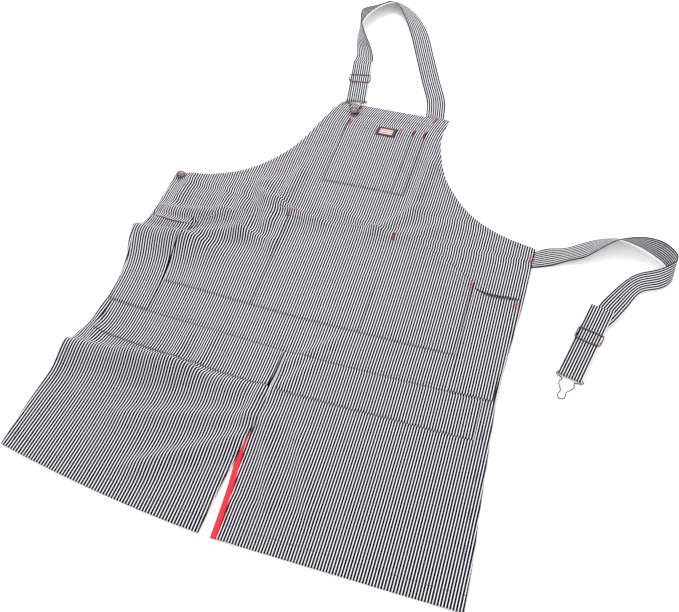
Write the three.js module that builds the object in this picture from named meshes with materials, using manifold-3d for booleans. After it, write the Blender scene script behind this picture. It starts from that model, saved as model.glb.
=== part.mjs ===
// A bib apron in striped twill, lying flat with its face up, as a scene graph of named solids.
//
// Frame: millimetres, +Z up. The origin is on the surface it lies on, under the centre line at the
// waist. +Y runs from the hem to the bib, along the cloth's stripes, and +X to the strap side.
//
// Every sewn layer is one flat outline, extruded and then cut from a slab that follows the same
// lattice of heights, so that neighbouring layers share every fold and keep the same gap.
// The straps are ribbons between two edge curves, and the hooks are wires swept along a path.

import * as THREE from "three";
import { mergeVertices } from "three/addons/utils/BufferGeometryUtils.js";
import Module from "manifold-3d";

const wasm = await Module();
wasm.setup();

// ---- driving dimensions, millimetres ----

const CLOTH = 0.9; // one layer of twill
const GAP = 0.3; // between pieces that are sewn or lie face to face
const LEVEL = CLOTH + GAP; // from one layer to the next

const BIB_TOP = 283; // bib's top edge above the waist
const BIB_HALF = 110; // half the bib's top edge
const WAIST_HALF = 338; // half the width at the waist
const HIP_HALF = WAIST_HALF - 5; // half the width across the pockets
const HEM_HALF = WAIST_HALF + 15; // half the width at the hem
const HEM = -632; // hem below the waist
const YOKE = -314; // cross seam between the body and the two legs
const SLIT_TOP = HEM + 186; // head of the centre slit
const KNEE = HEM + 72; // where the slit's edges turn straight down

const POUCH_HALF = WAIST_HALF - 85; // centre pocket's half width
const POUCH_BOTTOM = YOKE + 68;
const POUCH_MOUTH = 97; // half the straight part of its mouth
const BIB_POCKET_TOP = BIB_TOP - 44;
const BIB_POCKET_DEPTH = 174;

const BIB_SKEW = 14; // how far the bib's top edge lies to the right
const POCKET_TAKE_UP = 18; // cloth drawn up on the left by the gaping pocket
const LEG_TAKE_UP = 27; // cloth drawn up on the left by the fold across the leg
const WAIST_TAKE_UP = 8; // cloth drawn up at the left waist corner
const POCKET_SPREAD = 15; // how far the gaping pocket pushes the left side out
const LEG_SPREAD = 10; // how far the left leg lies out from its place
const SKEW_START = 0.72; // share of the bib's height where its sideways lie begins

const TAPE_WIDTH = 14; // facing tape along the armholes and the slit
const TAPE_REVEAL = 9; // how far the slit tape shows past its leg
const SIDE_HEM = 16;
const HEM_DEPTH = 26;
const BIB_FACING = 36;
const CORNER_FACING = 40; // patch behind each waist corner

const STRAP_WIDTH = 38;
const STRAP = 1.6; // folded strap's thickness
const WAIST_HOOK_TO_SLIDE = 82;
const WAIST_TAIL = 64; // strap end past the slide's middle
const NECK_HOOK_TO_SLIDE = 65;
const NECK_TAIL = 57;

const WIRE = 1.8; // hook wire
const HOOK_LENGTH = 38; // crossbar to the eye's centre
const EYE_RADIUS = 6; // to the wire's centre line
const EYE_POINTS = 8; // along the wire round the eye
const HOOK_SEAT = 6; // how far the shank lies from the eye's centre, towards the crossbar
const CROSSBAR_OUT = 8; // how far beyond the bib's edge the neck hook's crossbar lies
const HOOK_NECK = 4.8; // half the gap over the eye, to the wire's centre line
const HOOK_WAIST = 10; // half the hook's wide part, to the wire's centre line

const SLIDE_LENGTH = 24;
const SLIDE_TRAVEL = 12; // along the doubled strap, each way
const SLIDE_BAR = 1.9;
const SLIDE_CLEARANCE = 1.2; // beside the strap

const BUTTON_RADIUS = 8.8;
const BUTTON_HEIGHT = 3.6; // cap only
const SHANK_RADIUS = 2.8;
const NAIL_RADIUS = 0.9;
const TACK_RADIUS = 5;
const BIB_BUTTON = [-63.5, BIB_TOP + CROSSBAR_OUT - (HOOK_LENGTH - HOOK_SEAT)];
const WAIST_BUTTON = [11 - WAIST_HALF, 4];
const SPLICE_GAP = 8; // between the neck strap's two lengths, under its tail

const BARTACK = [3.4, 17]; // width and length
const LABEL = [40, 23];

const FOLD_LEG = { y: YOKE - 88, height: 18, half: 24, start: -150, full: -240 };
const FOLD_POCKET = { y: -152, height: 18, half: 34, start: -225, full: -300 };

const CELL = 34; // lattice pitch
const LATTICE_X = Math.ceil((HEM_HALF + 30) / CELL); // cells each side of the centre line
const LATTICE_UP = Math.ceil((BIB_TOP + 20) / CELL); // cells above the waist
const LATTICE_DOWN = Math.ceil((20 - HEM) / CELL); // cells below the waist

// ---- colours ----

const twill = () => new THREE.MeshStandardMaterial({ color: 0x8d8b99, roughness: 0.9 });
const red = () => new THREE.MeshStandardMaterial({ color: 0xe32b3a, roughness: 0.8 });
const thread = () => new THREE.MeshStandardMaterial({ color: 0x8e2a3c, roughness: 0.8 });
const navy = () => new THREE.MeshStandardMaterial({ color: 0x1d2337, roughness: 0.8 });
const bronze = () => new THREE.MeshStandardMaterial({ color: 0x8a7568, roughness: 0.4, metalness: 0.9 });

const apron = new THREE.Group();

function addMesh(name, geometry, material) {
  const mesh = new THREE.Mesh(geometry, material);
  mesh.name = name;
  apron.add(mesh);
  return mesh;
}

// ---- solids ----

function toManifold(geometry) {
  const bare = geometry.clone();
  bare.deleteAttribute("normal");
  bare.deleteAttribute("uv");
  const merged = mergeVertices(bare, 1e-4);
  return new wasm.Manifold(new wasm.Mesh({
    numProp: 3,
    vertProperties: new Float32Array(merged.attributes.position.array),
    triVerts: new Uint32Array(merged.index.array),
  }));
}

function toGeometry(manifold) {
  const mesh = manifold.getMesh();
  const geometry = new THREE.BufferGeometry();
  geometry.setAttribute("position", new THREE.BufferAttribute(mesh.vertProperties, 3));
  geometry.setIndex(new THREE.BufferAttribute(mesh.triVerts, 1));
  return geometry;
}

function joined(geometries) {
  const solids = geometries.map(toManifold);
  return toGeometry(solids.reduce((whole, solid) => whole.add(solid)));
}

// ---- how the cloth lies ----

// Goes from 0 to 1 as the value goes from one end to the other, either way round.
function rise(from, to, value) {
  if (from < to) return THREE.MathUtils.smoothstep(value, from, to);
  return 1 - THREE.MathUtils.smoothstep(value, to, from);
}

// Moves a point of the flat pattern to where the laid cloth has it.
function laid([x, y]) {
  const skew = BIB_SKEW * Math.max(0, (y / BIB_TOP - SKEW_START) / (1 - SKEW_START)) ** 2;
  const left = Math.max(0, -x / HEM_HALF);
  const drawn = POCKET_TAKE_UP * left * rise(-60, -200, y) + LEG_TAKE_UP * left ** 2 * rise(-330, -450, y)
    + WAIST_TAKE_UP * left ** 3 * Math.exp(-((y / 50) ** 2));
  const spread = POCKET_SPREAD * Math.exp(-(((y + 175) / 55) ** 2)) + LEG_SPREAD * rise(-350, -420, y);
  return new THREE.Vector2(x + skew - spread * left ** 2, y + drawn);
}

function foldHeight(fold, x, y) {
  const across = Math.exp(-(((y - fold.y) / fold.half) ** 2));
  return fold.height * across * rise(fold.start, fold.full, x);
}

// The border lies on its hems and facings, one level above the surface.
function layHeight(x, y) {
  const reach = HEM_DEPTH + CELL * Math.SQRT2;
  const border = borderDistance(new THREE.Vector2(x, y)) < reach ? LEVEL : 0;
  return border + foldHeight(FOLD_LEG, x, y) + foldHeight(FOLD_POCKET, x, y);
}

// ---- pattern outlines ----

const curve = (points, count) =>
  new THREE.SplineCurve(points.map(([x, y]) => new THREE.Vector2(x, y)))
    .getPoints(count)
    .map((point) => [point.x, point.y]);
const mirrored = (points) => points.map(([x, y]) => [-x, y]).reverse();

// A point of the armhole: a share of the way out from the bib, and a share of the bib's height.
const hollow = (out, up) => [BIB_HALF + out * (WAIST_HALF - BIB_HALF), up * BIB_TOP];
const armholePoints = [
  [BIB_HALF, BIB_TOP], hollow(0.061, SKEW_START), hollow(0.189, 0.442),
  hollow(0.428, 0.205), hollow(0.706, 0.074), [WAIST_HALF, 4],
];
const yokeEnd = [HIP_HALF - 1, YOKE];
const armhole = curve(armholePoints, 14);
const bodySide = curve([[WAIST_HALF, 4], [WAIST_HALF, -120], [HIP_HALF, YOKE + 84], yokeEnd], 6);
const legPoints = [yokeEnd, [HIP_HALF + 10, (YOKE + HEM) / 2], [HEM_HALF - 3, KNEE], [HEM_HALF, HEM]];
const legSide = curve(legPoints, 6);
const slitRight = curve([[-5, SLIT_TOP], [-7, SLIT_TOP - 46], [0, KNEE], [4, HEM]], 5);
const slitLeft = curve([[-5.4, SLIT_TOP], [-11, SLIT_TOP - 42], [-18, KNEE + 10], [-23, HEM]], 5);

const mouthAt = (share, y) => [POUCH_MOUTH + share * (POUCH_HALF - POUCH_MOUTH), y];
const pouchMouth = curve([mouthAt(0, -29), mouthAt(0.39, -42), mouthAt(0.74, -68), mouthAt(1, -96)], 6);

// Offsets an open run of points sideways: a positive distance moves to the left of its direction.
function beside(points, distance) {
  return points.map((point, index) => {
    const before = points[Math.max(index - 1, 0)];
    const after = points[Math.min(index + 1, points.length - 1)];
    const along = new THREE.Vector2(after[0] - before[0], after[1] - before[1]).normalize();
    return [point[0] - along.y * distance, point[1] + along.x * distance];
  });
}

const strip = (points, width) => [...points, ...beside(points, -width).reverse()];
const inset = (points, near, far) => [...beside(points, -near), ...beside(points, -far).reverse()];
const rectangle = (x0, y0, x1, y1) => [[x0, y0], [x1, y0], [x1, y1], [x0, y1]];

const wholeOutline = [
  ...armhole, ...bodySide.slice(1), ...legSide.slice(1), ...slitRight.slice().reverse(),
  ...slitLeft, ...mirrored(legSide), ...mirrored(bodySide).slice(1), ...mirrored(armhole).slice(1),
];
const borderPoints = wholeOutline.map(laid);

function borderDistance(point) {
  let nearest = Infinity;
  borderPoints.forEach((start, index) => {
    const end = borderPoints[(index + 1) % borderPoints.length];
    const side = end.clone().sub(start);
    const share = THREE.MathUtils.clamp(point.clone().sub(start).dot(side) / side.lengthSq(), 0, 1);
    nearest = Math.min(nearest, point.distanceTo(start.clone().addScaledVector(side, share)));
  });
  const crossings = borderPoints.filter((start, index) => {
    const end = borderPoints[(index + 1) % borderPoints.length];
    const spans = start.y > point.y !== end.y > point.y;
    return spans && point.x < ((end.x - start.x) * (point.y - start.y)) / (end.y - start.y) + start.x;
  });
  return crossings.length % 2 === 1 ? nearest : -nearest;
}

// ---- layers ----

const lattice = (() => {
  const rows = LATTICE_UP + LATTICE_DOWN;
  const plane = new THREE.PlaneGeometry(2 * LATTICE_X * CELL, rows * CELL, 2 * LATTICE_X, rows);
  plane.translate(0, ((LATTICE_UP - LATTICE_DOWN) / 2) * CELL, 0);
  const spots = plane.attributes.position;
  for (let i = 0; i < spots.count; i += 1) {
    spots.setZ(i, layHeight(spots.getX(i), spots.getY(i)));
  }
  return plane;
})();

// A slab over the whole lattice: a copy of the lattice on each side, closed by a rim.
function slab(bottom, thickness) {
  const spots = lattice.attributes.position;
  const count = spots.count;
  const faces = Array.from(lattice.index.array);
  const positions = [];
  for (const lift of [bottom + thickness, bottom]) {
    for (let i = 0; i < count; i += 1) {
      positions.push(spots.getX(i), spots.getY(i), spots.getZ(i) + lift);
    }
  }
  const index = [...faces];
  for (let i = 0; i < faces.length; i += 3) {
    index.push(faces[i] + count, faces[i + 2] + count, faces[i + 1] + count);
  }
  const across = 2 * LATTICE_X + 1;
  const rows = LATTICE_UP + LATTICE_DOWN + 1;
  const rim = [];
  for (let i = 0; i < across - 1; i += 1) rim.push([i + 1, i]);
  for (let j = 0; j < rows - 1; j += 1) rim.push([j * across, (j + 1) * across]);
  for (let i = 0; i < across - 1; i += 1) rim.push([(rows - 1) * across + i, (rows - 1) * across + i + 1]);
  for (let j = rows - 1; j > 0; j -= 1) rim.push([(j + 1) * across - 1, j * across - 1]);
  for (const [a, b] of rim) {
    index.push(a, a + count, b + count, a, b + count, b);
  }
  const geometry = new THREE.BufferGeometry();
  geometry.setAttribute("position", new THREE.Float32BufferAttribute(positions, 3));
  geometry.setIndex(index);
  return toManifold(geometry);
}

const slabs = new Map();
function slabAt(level) {
  if (!slabs.has(level)) slabs.set(level, slab(level * LEVEL, CLOTH));
  return slabs.get(level);
}

const circle = ([x, y], radius) =>
  new THREE.Path().absarc(x, y, radius, 0, 2 * Math.PI, true).getPoints(5).slice(0, -1);

// One piece of cloth: an outline of the pattern at a level of the stack, with round holes.
function addCloth(name, level, outline, material, holes = []) {
  const points = outline.map(laid);
  if (THREE.ShapeUtils.isClockWise(points)) points.reverse();
  const shape = new THREE.Shape(points);
  shape.holes = holes.map(([centre, radius]) => new THREE.Path(circle(centre, radius)));
  const prism = new THREE.ExtrudeGeometry(shape, { depth: 80, bevelEnabled: false });
  prism.translate(0, 0, -20);
  return addMesh(name, toGeometry(slabAt(level).intersect(toManifold(prism))), material);
}

const UNDER = -1;
const MAIN = 0;
const POCKET = 1;
const OVER = 2;

function addBody() {
  const outline = [
    ...armhole, ...bodySide.slice(1), ...mirrored(bodySide), ...mirrored(armhole).slice(1),
  ];
  const nail = NAIL_RADIUS + GAP;
  addCloth("body_panel", MAIN, outline, twill(), [[BIB_BUTTON, nail], [WAIST_BUTTON, nail]]);
}

function addLegs() {
  const head = YOKE - GAP;
  const side = legSide.map(([x, y]) => [x, Math.min(y, head)]);
  const right = [[-5, head], ...side, ...slitRight.slice().reverse()];
  const left = [[-5 - GAP, head], ...slitLeft.map(([x, y]) => [x - GAP / 2, y]), ...mirrored(side)];
  addCloth("leg_panel_right", MAIN, right, twill());
  addCloth("leg_panel_left", MAIN, left, twill());
}

function addFacings() {
  const tackRoom = TACK_RADIUS + GAP;
  addCloth("bib_facing", UNDER,
    [[-BIB_HALF - 3, BIB_TOP - BIB_FACING], [BIB_HALF + 3, BIB_TOP - BIB_FACING],
      [BIB_HALF - 1, BIB_TOP - 1], [1 - BIB_HALF, BIB_TOP - 1]],
    twill(), [[BIB_BUTTON, tackRoom]]);

  const corner = rectangle(WAIST_HALF - CORNER_FACING, -34, WAIST_HALF - 1, 4);
  corner[3][1] = 12;
  addCloth("waist_facing_right", UNDER, corner, twill());
  addCloth("waist_facing_left", UNDER, mirrored(corner), twill(), [[WAIST_BUTTON, tackRoom]]);

  const tapeLine = curve(armholePoints, 40).filter(
    ([x, y]) => y < BIB_TOP - BIB_FACING - 2 && x < WAIST_HALF - CORNER_FACING - 2);
  addCloth("armhole_tape_right", UNDER, inset(tapeLine, 0.5, TAPE_WIDTH), red());
  addCloth("armhole_tape_left", UNDER, mirrored(inset(tapeLine, 0.5, TAPE_WIDTH)), red());

  const sideLine = [...bodySide, ...legSide.slice(1)].filter(([, y]) => y < -36 && y > HEM + HEM_DEPTH + 3);
  sideLine.unshift([WAIST_HALF, -36]);
  sideLine.push([HEM_HALF - 1, HEM + HEM_DEPTH + 3]);
  addCloth("side_hem_right", UNDER, inset(sideLine, 0.5, SIDE_HEM), twill());
  addCloth("side_hem_left", UNDER, mirrored(inset(sideLine, 0.5, SIDE_HEM)), twill());

  addCloth("hem_right", UNDER,
    rectangle(4 + TAPE_WIDTH - TAPE_REVEAL + 7, HEM + 1, HEM_HALF - 1, HEM + HEM_DEPTH), twill());
  addCloth("hem_left", UNDER,
    rectangle(1 - HEM_HALF, HEM + 1, -23 - TAPE_WIDTH - 1, HEM + HEM_DEPTH), twill());
}

function addSlitTapes() {
  const edge = slitRight.slice(1);
  const outer = beside(edge, -TAPE_REVEAL);
  outer[0][0] = edge[0][0] - 2;
  const inner = beside(edge, TAPE_WIDTH - TAPE_REVEAL + 4);
  addCloth("slit_tape_right", UNDER, [...outer, ...inner.reverse()], red());
  const leftEdge = slitLeft.slice(1).map(([x, y]) => [x - 8 * rise(KNEE + 10, SLIT_TOP - 20, y) - 0.5, y]);
  addCloth("slit_tape_left", UNDER, strip(leftEdge, TAPE_WIDTH), red());
}

function addBibPocket() {
  const top = BIB_POCKET_TOP;
  const bottom = top - BIB_POCKET_DEPTH;
  addCloth("bib_pocket", POCKET, [[-70, bottom], [88, bottom], [88, top], [-68, top]], twill());
  const [width, height] = LABEL;
  addCloth("label", OVER, rectangle(-8, top - 9 - height, width - 8, top - 9), navy());
}

function addPouch() {
  const half = [...pouchMouth, [POUCH_HALF, POUCH_BOTTOM]];
  addCloth("pouch_pocket", POCKET, [...mirrored(half), ...half], twill());
}

function addSidePockets() {
  const start = POUCH_HALF + 3;
  const end = WAIST_HALF - 6;
  const mouth = curve([[start, -109], [start + 28, -116], [end, -113]], 4);
  const front = [...mouth, [end - 5, YOKE + 3], [start, YOKE + 3]];
  addCloth("side_pocket_right", POCKET, front, twill());
  addCloth("side_pocket_left", POCKET, mirrored(front), twill());
  const band = [...beside(mouth, 1), ...beside(mouth, 17).reverse()];
  addCloth("pocket_band_right", POCKET, band, twill());
  addCloth("pocket_band_left", POCKET, mirrored(band), twill());
}

function addLegPockets() {
  const outline = rectangle(2, -384, HIP_HALF - 20, YOKE - 2);
  addCloth("leg_pocket_right", POCKET, outline, twill());
  addCloth("leg_pocket_left", POCKET, mirrored(outline).map(([x, y]) => [x - 8, y]), twill());
}

function addBartacks() {
  const [width, length] = BARTACK;
  const top = BIB_POCKET_TOP - length / 2 - 2;
  const places = [
    ["bib_pocket_tack_1", OVER, -66, top], ["bib_pocket_tack_2", OVER, 36, top],
    ["bib_pocket_tack_3", OVER, 64, top], ["bib_pocket_tack_4", OVER, 84, top],
    ["pouch_tack_left", OVER, -POUCH_MOUTH, -39], ["pouch_tack_right", OVER, POUCH_MOUTH, -39],
    ["hand_tack_left", OVER, 5 - POUCH_HALF, -104], ["hand_tack_right", OVER, POUCH_HALF - 5, -104],
    ["side_tack_left", OVER, 10 - WAIST_HALF, -124], ["side_tack_right", OVER, WAIST_HALF - 10, -124],
    ["neck_strap_tack", POCKET, 84, BIB_TOP - length / 2 - GAP],
    ["waist_strap_tack", POCKET, WAIST_HALF - 5, -20],
  ];
  for (const [name, level, x, y] of places) {
    const outline = rectangle(x - width / 2, y - length / 2, x + width / 2, y + length / 2);
    addCloth(name, level, outline, thread());
  }
}

// ---- straps ----

// A ribbon between two edge curves. Each station is [edge A, edge B], as [x, y, z] points.
function ribbon(stations, steps) {
  const curveA = new THREE.CatmullRomCurve3(stations.map(([a]) => new THREE.Vector3(...a)));
  const curveB = new THREE.CatmullRomCurve3(stations.map(([, b]) => new THREE.Vector3(...b)));
  const geometry = new THREE.BoxGeometry(1, 1, 1, steps, 4, 1);
  const spots = geometry.attributes.position;
  for (let i = 0; i < spots.count; i += 1) {
    const share = THREE.MathUtils.clamp(spots.getX(i) + 0.5, 0, 1);
    const a = curveA.getPoint(share);
    const b = curveB.getPoint(share);
    const tangent = curveA.getTangent(share).add(curveB.getTangent(share));
    const normal = new THREE.Vector3().crossVectors(tangent, b.clone().sub(a)).normalize();
    const point = a.lerp(b, 0.5 - spots.getY(i)).addScaledVector(normal, -spots.getZ(i) * STRAP);
    spots.setXYZ(i, point.x, point.y, point.z);
  }
  return geometry;
}

// The doubled end runs out along a line, round the hook's crossbar and back over itself.
const BAR_Z = 3.7; // hook crossbar's centre
const WRAP = (STRAP + WIRE) / 2 + 2 * GAP; // crossbar's centre to the strap's middle
const LOW_Z = SLIDE_BAR + 2 * GAP + STRAP / 2; // lower run where the slide holds it
const HIGH_Z = LOW_Z + STRAP + GAP;
const FRAME_Z = HIGH_Z + STRAP / 2 + GAP + SLIDE_BAR / 2;
const FLAT = LEVEL - 0.2; // strap lying on the surface, its middle level with the sewn edge

class StrapEnd {
  constructor([x, y], heading, slideDistance, tail) {
    this.bar = new THREE.Vector3(x, y, BAR_Z);
    this.out = new THREE.Vector3(Math.cos(heading), Math.sin(heading), 0);
    this.side = new THREE.Vector3(-this.out.y, this.out.x, 0);
    this.slideDistance = slideDistance;
    this.tail = tail;
  }

  point(along, across, z) {
    const spot = this.bar.clone().addScaledVector(this.out, along).addScaledVector(this.side, across);
    return [spot.x, spot.y, z];
  }

  station(along, z) {
    return [this.point(along, STRAP_WIDTH / 2, z), this.point(along, -STRAP_WIDTH / 2, z)];
  }

  // Stations that ease from the height beside the bar to the height at the slide.
  climb(level, near, far) {
    return [0.25, 0.5, 0.75].map((share) => this.station(
      THREE.MathUtils.lerp(-16, level, share),
      THREE.MathUtils.lerp(near, far, THREE.MathUtils.smoothstep(share, 0, 1)),
    ));
  }

  // Stations from the slide along the lower run, round the bar and back to the strap's tail.
  stations(start) {
    const level = SLIDE_LENGTH / 2 + SLIDE_TRAVEL + 2 - this.slideDistance;
    const list = [this.station(start, LOW_Z), this.station(level, LOW_Z)];
    list.push(...this.climb(level, BAR_Z - WRAP, LOW_Z).reverse());
    list.push(this.station(-16, BAR_Z - WRAP), this.station(-6, BAR_Z - WRAP));
    for (const turn of [-60, -20, 20, 60]) {
      const angle = THREE.MathUtils.degToRad(turn);
      list.push(this.station(WRAP * Math.cos(angle), BAR_Z + WRAP * Math.sin(angle)));
    }
    list.push(this.station(-6, BAR_Z + WRAP), this.station(-16, BAR_Z + WRAP));
    list.push(...this.climb(level, BAR_Z + WRAP, HIGH_Z));
    list.push(this.station(level, HIGH_Z), this.station(-this.slideDistance - this.tail, HIGH_Z));
    return list;
  }
}

const waistHeading = THREE.MathUtils.degToRad(-102.4);
const waistEnd = new StrapEnd([WAIST_HALF + 94, -236], waistHeading, WAIST_HOOK_TO_SLIDE, WAIST_TAIL);
const neckHeading = THREE.MathUtils.degToRad(-79.8);
const neckReach = HOOK_LENGTH - HOOK_SEAT;
const neckBar = [
  BIB_BUTTON[0] - neckReach * Math.cos(neckHeading), BIB_BUTTON[1] - neckReach * Math.sin(neckHeading),
];
const neckEnd = new StrapEnd(neckBar, neckHeading, NECK_HOOK_TO_SLIDE, NECK_TAIL);

// Stations measured from a corner of the apron, for a strap 38 wide, brought to the strap's width.
function fromCorner(stations, [cornerX, cornerY]) {
  return stations.map(([a, b]) => {
    const edgeA = new THREE.Vector3(a[0] + cornerX, a[1] + cornerY, a[2]);
    const across = new THREE.Vector3(b[0] - a[0], b[1] - a[1], b[2] - a[2]).multiplyScalar(STRAP_WIDTH / 38);
    return [edgeA.toArray(), edgeA.clone().add(across).toArray()];
  });
}

function addWaistStrap() {
  const root = GAP;
  const run = fromCorner([
    [[root, -1, FLAT], [root, -38, FLAT]],
    [[18, 12, FLAT], [31, -25, 1.7]],
    [[48, 22, FLAT], [58, -10, 6]],
    [[74, 40, FLAT], [83, 2, 10]],
    [[100, 56, FLAT], [107, 22, 18]],
    [[132, 66, FLAT], [132, 40, 28]],
    [[170, 57, FLAT], [166, 47, 38]],
    [[196, 43, FLAT], [197, 46, 39]],
    [[214, 29, FLAT], [216, 36, 38]],
    [[225, 11, FLAT], [226, 25, 36]],
    [[227, -3, FLAT], [227, 19, 31]],
    [[221, -16, FLAT], [219, 15, 21]],
    [[210, -27, FLAT], [204, 9, 11]],
    [[182, -43, FLAT], [167, -9, 4]],
    [[165, -78, FLAT], [130, -64, 3]],
    [[149, -112, LOW_Z], [113, -100, LOW_Z]],
  ], [WAIST_HALF, 0]);
  const start = -WAIST_HOOK_TO_SLIDE - SLIDE_LENGTH / 2 - SLIDE_TRAVEL;
  addMesh("waist_strap", ribbon([...run, ...waistEnd.stations(start)], 160), twill());
}

function addNeckStrap() {
  const splice = -NECK_HOOK_TO_SLIDE;
  const run = fromCorner([
    [[113, GAP, FLAT], [76, GAP, FLAT]],
    [[104, 50, FLAT], [67, 42, FLAT]],
    [[77, 115, FLAT], [42, 101, FLAT]],
    [[46, 190, FLAT], [11, 175, FLAT]],
    [[14, 263, FLAT], [-18, 242, 5]],
    [[-26, 319, FLAT], [-46, 291, 14]],
    [[-60, 344, FLAT], [-66, 314, 21]],
    [[-87, 349, FLAT], [-84, 319, 23]],
    [[-107, 333, FLAT], [-97, 304, 25]],
    [[-119, 313, FLAT], [-108, 290, 28]],
    [[-128, 290, FLAT], [-119, 275, 33]],
    [[-131, 263, FLAT], [-129, 257, 37]],
    [[-130, 239, FLAT], [-126, 235, 38]],
    [[-127, 211, FLAT], [-114, 205, 35]],
    [[-123, 189, FLAT], [-100, 183, 28]],
    [[-117, 169, FLAT], [-84, 167, 10]],
    [[-111, 147, 2], [-74, 145, 2]],
  ], [0, BIB_TOP]);
  run.push(neckEnd.station(splice - NECK_TAIL, LOW_Z).reverse());
  run.push(neckEnd.station(splice - SPLICE_GAP, LOW_Z).reverse());
  addMesh("neck_strap", ribbon(run, 64), twill());
  addMesh("neck_strap_end", ribbon(neckEnd.stations(splice), 51), twill());
}

// ---- hardware ----

function octagon(radius) {
  const turn = new THREE.Path().absarc(0, 0, radius, 0, 2 * Math.PI, false);
  return new THREE.Shape(turn.getPoints(4).slice(0, -1));
}

// A bent wire hook: a loop that swells for the button's cap, narrows, and ends in a round eye.
function hookGeometry() {
  const bar = STRAP_WIDTH / 2 + 1.5;
  const half = [
    [0, bar - 8], [0, bar - 0.5], [3.4, bar + 1],
    [9, HOOK_WAIST], [16, HOOK_WAIST + 2], [23, HOOK_WAIST - 1], [HOOK_LENGTH - 9, HOOK_NECK],
  ];
  const eye = [];
  for (let i = 0; i < EYE_POINTS; i += 1) {
    const angle = THREE.MathUtils.degToRad(115 - (i * 230) / (EYE_POINTS - 1));
    eye.push([HOOK_LENGTH + EYE_RADIUS * Math.cos(angle), EYE_RADIUS * Math.sin(angle)]);
  }
  const back = half.slice().reverse().map(([along, across]) => [along, -across]);
  const loop = [[0, 0], ...half, ...eye, ...back];
  const spots = loop.map(([along, across]) => new THREE.Vector3(along, across, 0));
  const path = new THREE.CatmullRomCurve3(spots, true, "centripetal");
  return toGeometry(toManifold(
    new THREE.ExtrudeGeometry(octagon(WIRE / 2), { steps: 52, extrudePath: path }),
  ));
}

function addHook(name, end) {
  const hook = addMesh(name, hookGeometry(), bronze());
  hook.position.copy(end.bar);
  hook.rotation.z = Math.atan2(end.out.y, end.out.x);
}

// A three-bar slide: two bars over the doubled strap and one under it, joined at the sides.
function addSlide(name, end) {
  const half = STRAP_WIDTH / 2 + SLIDE_CLEARANCE;
  const angle = Math.atan2(end.out.y, end.out.x);
  const piece = (along, across, z, length, width, height) => {
    const box = new THREE.BoxGeometry(length, width, height);
    box.rotateZ(angle);
    const [x, y] = end.point(-end.slideDistance + along, across, 0);
    box.translate(x, y, z);
    return box;
  };
  const cross = 2 * half + 2 * SLIDE_BAR;
  const reach = SLIDE_LENGTH / 2 - SLIDE_BAR / 2;
  const tall = FRAME_Z + SLIDE_BAR / 2 - GAP / 2;
  addMesh(name, joined([
    piece(-reach, 0, FRAME_Z, SLIDE_BAR, cross, SLIDE_BAR),
    piece(reach, 0, FRAME_Z, SLIDE_BAR, cross, SLIDE_BAR),
    piece(0, 0, GAP / 2 + SLIDE_BAR / 2, SLIDE_BAR, cross, SLIDE_BAR),
    piece(0, half + SLIDE_BAR / 2, FRAME_Z, SLIDE_LENGTH, SLIDE_BAR, SLIDE_BAR),
    piece(0, -half - SLIDE_BAR / 2, FRAME_Z, SLIDE_LENGTH, SLIDE_BAR, SLIDE_BAR),
    piece(0, half + SLIDE_BAR / 2, GAP / 2 + tall / 2, 4, SLIDE_BAR, tall),
    piece(0, -half - SLIDE_BAR / 2, GAP / 2 + tall / 2, 4, SLIDE_BAR, tall),
  ]), bronze());
}

// A jeans button: a nailed tack behind the cloth, and a hollow shank with a domed cap on its nail.
function addButton(name, [x, y]) {
  const foot = 2 * LEVEL;
  const capBase = BAR_Z + WIRE / 2 + 0.6;
  const top = capBase + BUTTON_HEIGHT;
  const bore = NAIL_RADIUS + GAP;
  const lathe = (profile, sides) => {
    const geometry = new THREE.LatheGeometry(profile.map(([r, z]) => new THREE.Vector2(r, z)), sides);
    geometry.rotateX(Math.PI / 2);
    geometry.translate(x, y, 0);
    return geometry;
  };
  addMesh(`${name}_tack`, lathe([
    [0, 0], [TACK_RADIUS, 0], [TACK_RADIUS, CLOTH], [NAIL_RADIUS, CLOTH],
    [NAIL_RADIUS, capBase - GAP], [0, capBase - GAP],
  ], 16), bronze());
  addMesh(`${name}`, lathe([
    [0, capBase + GAP], [bore, capBase + GAP], [bore, foot], [SHANK_RADIUS, foot], [SHANK_RADIUS, capBase],
    [BUTTON_RADIUS - 0.6, capBase], [BUTTON_RADIUS, capBase + 0.9], [BUTTON_RADIUS - 0.7, top - 1.2],
    [BUTTON_RADIUS * 0.66, top - 0.3], [0, top],
  ], 24), bronze());
}

addBody();
addLegs();
addFacings();
addSlitTapes();
addBibPocket();
addPouch();
addSidePockets();
addLegPockets();
addBartacks();
addWaistStrap();
addNeckStrap();
addHook("waist_hook", waistEnd);
addHook("neck_hook", neckEnd);
addSlide("waist_slide", waistEnd);
addSlide("neck_slide", neckEnd);
addButton("bib_button", BIB_BUTTON);
addButton("waist_button", WAIST_BUTTON);

export default apron;
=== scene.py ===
# %% [markdown]
# # A striped twill bib apron, laid flat
#
# The apron is cut from navy and white striped twill and sewn from flat layers: a bib and skirt in
# one panel, two legs below a cross seam, patch pockets, hems and red facing tape. Two straps end in
# wire hooks that close over jeans buttons. Everything here is worked out in millimetres, as a
# cutter would, and turned to metres only when a mesh is made.

# %% Load the frame
import math
from functools import partial

import bpy
import numpy as np
from mathutils import Matrix, Vector


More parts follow.
